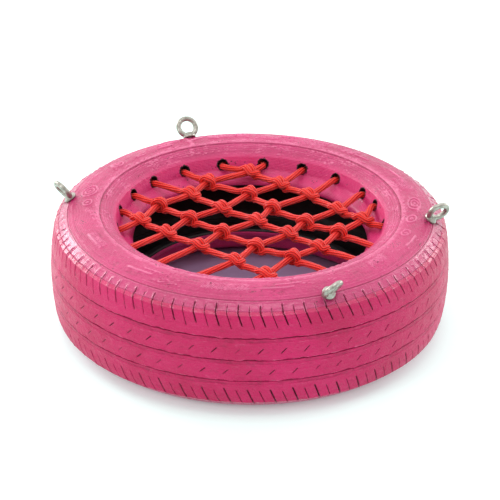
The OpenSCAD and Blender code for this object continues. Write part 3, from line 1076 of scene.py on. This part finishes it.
def paint_material(name, deep, bright, rough, gloss):
    """Pink enamel brushed on rubber: lighter on raised relief as worn paint and painted highlight, painted
    shade in its hollows, cuts and under groove edges, painted light on the inner slope, and black where the
    paint never reached.
    """
    sh = Shader(name)
    cloud = sh.noise(9, 5, 0.55)
    streak = sh.noise(45, 4, 0.6, (1, 1, 4.0))
    worn = sh.attribute("worn")
    across = sh.attribute("across")
    outward = sh.math("ABSOLUTE", across)
    grime = sh.noise(900, 3, 0.7)
    # bare paint plus painted shade, roughened with noise
    thin = sh.math("ADD", sh.attribute("bare"), sh.band(sh.noise(700, 3), 0.3, 0.7, -0.12, 0.12))
    bald = sh.band(thin, 0.62, 0.8)
    black = sh.mix(sh.band(sh.noise(1100, 2), 0.6, 0.68), rgb(20, 4, 10), rgb(96, 52, 60))
    colour = sh.mix(sh.band(cloud, 0.35, 0.65), deep, bright)
    for share, over in ((sh.band(streak, 0.55, 0.8, 0, 0.25), rgb(222, 70, 128)),
                        # lighter on raised relief: partly worn paint, partly painted highlight
                        (sh.band(worn, 0.2, 1.0, 0, 0.55), rgb(240, 132, 172)),
                        # darker in hollows: painted shade
                        (sh.band(worn, -0.12, -0.7, 0, 0.65), rgb(128, 8, 56)),
                        # lighter pink from the inner slope to the bead: painted light that evens out the
                        # shade there
                        (sh.band(outward, RIDGE_S - 8, RIDGE_S + 2, 0, 0.55), rgb(236, 62, 130)),
                        (sh.band(grime, 0.6, 0.74, 0, 0.5), rgb(128, 14, 58)),
                        # dark magenta: partly thin paint by bare rubber, partly painted shade in cuts and
                        # under groove edges
                        (sh.band(thin, 0.12, 0.5), rgb(104, 6, 44)),
                        (bald, black)):
        colour = sh.mix(share, colour, over)
    brushed = sh.math("SINE", sh.math("ADD", sh.math("MULTIPLY", across, 2.6), sh.band(cloud, 0, 1, 0, 9)))
    fine = sh.bump(sh.noise(520, 6, 0.7), 0.001, 0.7)
    lines = sh.bump(brushed, 0.0002, 0.6, fine)
    orange_peel = sh.bump(sh.noise(170, 5, 0.6), 0.0022, 0.6, lines)
    shine = sh.band(sh.noise(70, 4), 0.3, 0.7, rough - 0.07, rough + 0.1)
    shine = sh.math("ADD", shine, sh.math("MULTIPLY", bald, 0.4), clamp=True)
    lacquer = sh.math("ADD", sh.band(outward, EDGE_S - 0.6, EDGE_S + 0.6, 0.08, 0.75),
                      sh.band(outward, RING_S - 1, RING_S + 3, 0.0, -0.55))
    sh.set(Base_Color=colour, Roughness=shine, Normal=orange_peel, Coat_Weight=lacquer,
           Coat_Roughness=0.24, Specular_IOR_Level=gloss)
    return sh.material


def bare_rubber_material():
    """Unpainted inside of the tyre: black rubber with faint liner ribs and dust."""
    sh = Shader("bare_rubber")
    dust = sh.band(sh.noise(60, 5), 0.45, 0.75)
    colour = sh.mix(dust, rgb(22, 14, 18), rgb(44, 34, 40))
    waves = [("Vector", sh.where), ("Scale", 120.0), ("Distortion", 1.5), ("Detail", 2.0)]
    ribs = sh.node("ShaderNodeTexWave", waves, wave_type="RINGS", rings_direction="Z").outputs["Fac"]
    normal = sh.bump(ribs, 0.0006, 0.4, sh.bump(sh.noise(500, 4), 0.0004, 0.6))
    sh.set(Base_Color=colour, Roughness=sh.band(dust, 0, 1, 0.5, 0.8), Normal=normal)
    return sh.material


def cord_material():
    """Braided orange-red polypropylene, with a soft sheen, braid grooves painted darker and strands brighter
    as painted shade and highlight, and a heat-sealed tan end.
    """
    sh = Shader("braided_cord")
    run = sh.attribute("run")
    angle = sh.math("ARCTAN2", sh.attribute("turn_sin"), sh.attribute("turn_cos"))
    lay = []
    for turns, pitch in ((8.0, 0.16), (-8.0, 1.5)):
        phase = sh.math("ADD", sh.math("MULTIPLY", angle, turns), sh.math("MULTIPLY", run, pitch))
        lay.append(sh.math("SINE", phase))
    braid = sh.math("ADD", lay[0], sh.math("MULTIPLY", lay[1], 0.3))
    # darker red in the braid's grooves, brighter on its strands: painted shade and highlight
    painted_braid_shading = sh.mix(sh.band(braid, -0.75, 0.25), rgb(178, 8, 10), rgb(248, 44, 34))
    faded = sh.mix(sh.band(sh.noise(26, 4), 0.4, 0.7, 0, 0.4), painted_braid_shading, rgb(250, 62, 54))
    tan = sh.mix(sh.band(sh.noise(500, 3), 0.4, 0.6), rgb(214, 190, 150), rgb(120, 84, 48))
    colour = sh.mix(sh.attribute("sealed"), faded, tan)
    yarn = sh.bump(sh.noise(1600, 3, 0.6), 0.0002, 0.5)
    normal = sh.bump(braid, 0.0007, 0.9, yarn)
    sh.set(Base_Color=colour, Roughness=sh.band(sh.noise(200, 3), 0.3, 0.7, 0.4, 0.58), Normal=normal,
           Sheen_Weight=0.12, Sheen_Roughness=0.35, Specular_IOR_Level=0.35)
    return sh.material


def zinc_material(name, light, dark, rough):
    """Galvanised steel: pale zinc with clouding, fine scratches and duller patches."""
    sh = Shader(name)
    cloud = sh.noise(160, 6, 0.65)
    colour = sh.mix(sh.band(cloud, 0.35, 0.7), light, dark)
    scratch = sh.noise(700, 2, 0.5, (1, 6, 1))
    colour = sh.mix(sh.band(scratch, 0.66, 0.74, 0, 0.35), colour, rgb(120, 112, 104))
    normal = sh.bump(sh.noise(900, 4), 0.00015, 0.5, sh.bump(cloud, 0.0004, 0.35))
    sh.set(Base_Color=colour, Metallic=0.85, Roughness=sh.band(cloud, 0.3, 0.7, rough, rough + 0.16),
           Normal=normal)
    return sh.material


def wire_material(name, light, dark):
    sh = Shader(name)
    strands = sh.noise(1400, 2, 0.5, (1, 1, 5))
    sh.set(Base_Color=sh.mix(sh.band(strands, 0.4, 0.6), light, dark), Metallic=0.9,
           Roughness=sh.band(strands, 0.3, 0.7, 0.3, 0.5), Normal=sh.bump(strands, 0.0004, 0.6))
    return sh.material


FLOOR_GLOW = 0.3
# inner and outer radius of the disc of painted shade under the tyre
SHADE_DISC_R = (0.235, 0.27)


def floor_material():
    """Pale studio floor that glows a little; under the tyre the glow stops and a purple-grey disc of painted
    shade, tinted with the tyre's reflected pink, takes its place; its cyan tint offsets the pink light
    reflected into its shadows.
    """
    sh = Shader("studio_floor")
    reach = sh.node("ShaderNodeVectorMath", [(0, sh.where)], operation="LENGTH").outputs["Value"]
    under = sh.band(reach, SHADE_DISC_R[0], SHADE_DISC_R[1], 1, 0)
    # painted shade under the tyre, purple-grey with the pink the tyre reflects
    painted_shade = sh.mix(sh.noise(14, 4), rgb(196, 164, 204), rgb(150, 118, 158))
    # cyan tint: offsets the pink light the tyre reflects into the floor's shadows; the glow fades out where
    # the shade is painted
    sh.set(Base_Color=sh.mix(under, (0.63, 0.84, 0.8, 1), painted_shade), Roughness=0.85,
           Emission_Color=(1, 1, 1, 1), Emission_Strength=sh.band(under, 0, 1, FLOOR_GLOW, 0))
    return sh.material


# ---- stage
def make_floor():
    size = 14.0
    corners = np.array([(-size, -size, 0), (size, -size, 0), (size, size, 0), (-size, size, 0)])
    floor = make_object("floor", corners, [np.array([[0, 1, 2, 3]])], smooth=False)
    floor.data.materials.append(floor_material())


def area_light(name, at, aim, size, watts):
    lamp = bpy.data.lights.new(name, "AREA")
    lamp.shape = "RECTANGLE"
    lamp.size, lamp.size_y = size
    lamp.energy = watts
    made = place(name, lamp)
    made.location = at
    made.rotation_euler = (Vector(aim) - Vector(at)).to_track_quat("-Z", "Y").to_euler()


def make_world():
    """A pale room: bright behind and to the sides of the object, dimmer behind the camera."""
    world = bpy.data.worlds.new("studio")
    world.use_nodes = True
    tree = world.node_tree
    towards = tree.nodes.new("ShaderNodeTexCoord").outputs["Generated"]
    split = tree.nodes.new("ShaderNodeSeparateXYZ")
    tree.links.new(towards, split.inputs[0])
    rear = tree.nodes.new("ShaderNodeMapRange")
    for key, value in (("From Min", -0.8), ("From Max", 0.6), ("To Min", 0.74), ("To Max", 1.45)):
        rear.inputs[key].default_value = value
    tree.links.new(split.outputs["Y"], rear.inputs["Value"])
    background = tree.nodes["Background"]
    background.inputs["Color"].default_value = (1.0, 1.0, 1.0, 1)
    tree.links.new(rear.outputs["Result"], background.inputs["Strength"])
    bpy.context.scene.world = world


def make_light():
    make_world()
    area_light("overhead", (0.0, -0.4, 2.6), (0, 0, 0.1), (1.6, 1.0), 13)
    area_light("left_front", (-2.4, -2.2, 2.0), (0, 0, 0.1), (0.9, 0.9), 16)
    area_light("left_rear", (-1.95, 1.45, 1.15), (-0.2, -0.1, 0.15), (1.0, 0.8), 26)
    area_light("right_rear", (2.1, 1.3, 0.9), (0.2, 0, 0.15), (0.8, 0.6), 11)


def make_camera():
    """The photograph's view: from straight in front, 28 degrees above the floor."""
    elevation = math.radians(28.09)
    distance = 3.638
    aim = Vector((0, 0, 0.1122))
    data = bpy.data.cameras.new("camera")
    data.sensor_width = 36.0
    data.lens = 174.6
    data.clip_end = 60.0
    camera = place("camera", data)
    camera.location = aim + distance * Vector((0, -math.cos(elevation), math.sin(elevation)))
    roll = 0.0108
    camera.rotation_euler = (Matrix.Rotation(math.pi / 2 - elevation, 3, "X")
                             @ Matrix.Rotation(roll, 3, "Z")).to_euler()
    bpy.context.scene.camera = camera


def dress_cad_nodes():
    """Materials for the CAD pieces that are shown as they are."""
    rubber = bare_rubber_material()
    belt = wire_material("belt_steel", rgb(150, 150, 154), rgb(96, 96, 100))
    bead = wire_material("bead_wire", rgb(196, 160, 96), rgb(130, 96, 54))
    fastener = zinc_material("fastener_zinc", rgb(200, 198, 190), rgb(150, 146, 138), 0.34)
    looks = {"carcass": rubber, "steel_belt": belt, "upper_bead_core": bead, "lower_bead_core": bead}
    for name in EYES:
        looks["washer_" + name] = fastener
        looks["nut_" + name] = fastener
    for node, material in looks.items():
        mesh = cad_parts[node].data
        mesh.materials.clear()
        mesh.materials.append(material)


bpy.context.scene.view_settings.view_transform = "Standard"
make_camera()
make_light()
make_floor()
make_tyre_rubber(paint_material("tread_paint", rgb(184, 9, 78), rgb(202, 18, 94), 0.4, 0.3),
                 paint_material("side_paint", rgb(178, 26, 92), rgb(197, 40, 108), 0.36, 0.45))
make_cord(cord_material())
make_eyebolts(zinc_material("eye_zinc", rgb(186, 183, 174), rgb(128, 124, 114), 0.27))
dress_cad_nodes()
